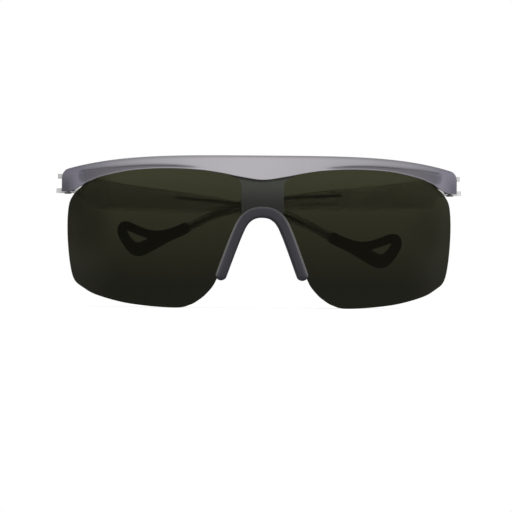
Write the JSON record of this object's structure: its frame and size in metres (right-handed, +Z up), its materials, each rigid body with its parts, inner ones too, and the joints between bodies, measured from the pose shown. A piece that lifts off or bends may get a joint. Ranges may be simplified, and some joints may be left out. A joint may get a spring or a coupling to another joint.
{
  "type": "sunglasses",
  "caption": "Wrap-round shield sunglasses with a one-piece tinted lens under a brow bar, a bridge nose pad and folding arms with looped rubber tips.",
  "frame": {"origin": "under the middle of the whole part, arms folded, level with the lowest points of the lens", "axes": "+X to the right in the picture, +Y from the lens back towards the wearer, +Z up"},
  "size_m": [0.144, 0.039, 0.0539],
  "materials": {
    "frosted_frame": "frosted, slightly see-through grey moulding",
    "tinted_lens": "dark green-grey tinted sheet, glossy, darker towards the bottom",
    "soft_grey_rubber": "soft, matt",
    "clear_arm": "clear grey moulding, smooth",
    "black_rubber": "soft, satin black",
    "core_steel": "drawn wire",
    "dark_steel": "blackened screw",
    "bright_steel": "plain turned",
    "white_nylon": "natural nylon"
  },
  "bodies": {
    "front": {"brow_bar": "frosted_frame", "shield_lens": "tinted_lens", "left_lens_pin": "bright_steel", "right_lens_pin": "bright_steel", "nose_pad": "soft_grey_rubber", "nose_core": "bright_steel", "left_knuckle_bush": "bright_steel", "right_knuckle_bush": "bright_steel"},
    "left_temple": {"left_arm": "clear_arm", "left_core_wire": "core_steel", "left_rubber_tip": "black_rubber", "left_hinge_screw": "dark_steel", "left_screw_insert": "bright_steel", "left_upper_washer": "white_nylon", "left_lower_washer": "white_nylon"},
    "right_temple": {"right_arm": "clear_arm", "right_core_wire": "core_steel", "right_rubber_tip": "black_rubber", "right_hinge_screw": "dark_steel", "right_screw_insert": "bright_steel", "right_upper_washer": "white_nylon", "right_lower_washer": "white_nylon"}
  },
  "joints": [
    {"name": "left_hinge", "type": "hinge", "parent": "front", "child": "left_temple", "pos_m": [-0.0679, 0.017, 0.0437], "axis": [0, 0, 1], "range_deg": [0, 88.4]},
    {"name": "right_hinge", "type": "hinge", "parent": "front", "child": "right_temple", "pos_m": [0.0679, 0.017, 0.0437], "axis": [0, 0, -1], "range_deg": [0, 91.5]}
  ]
}
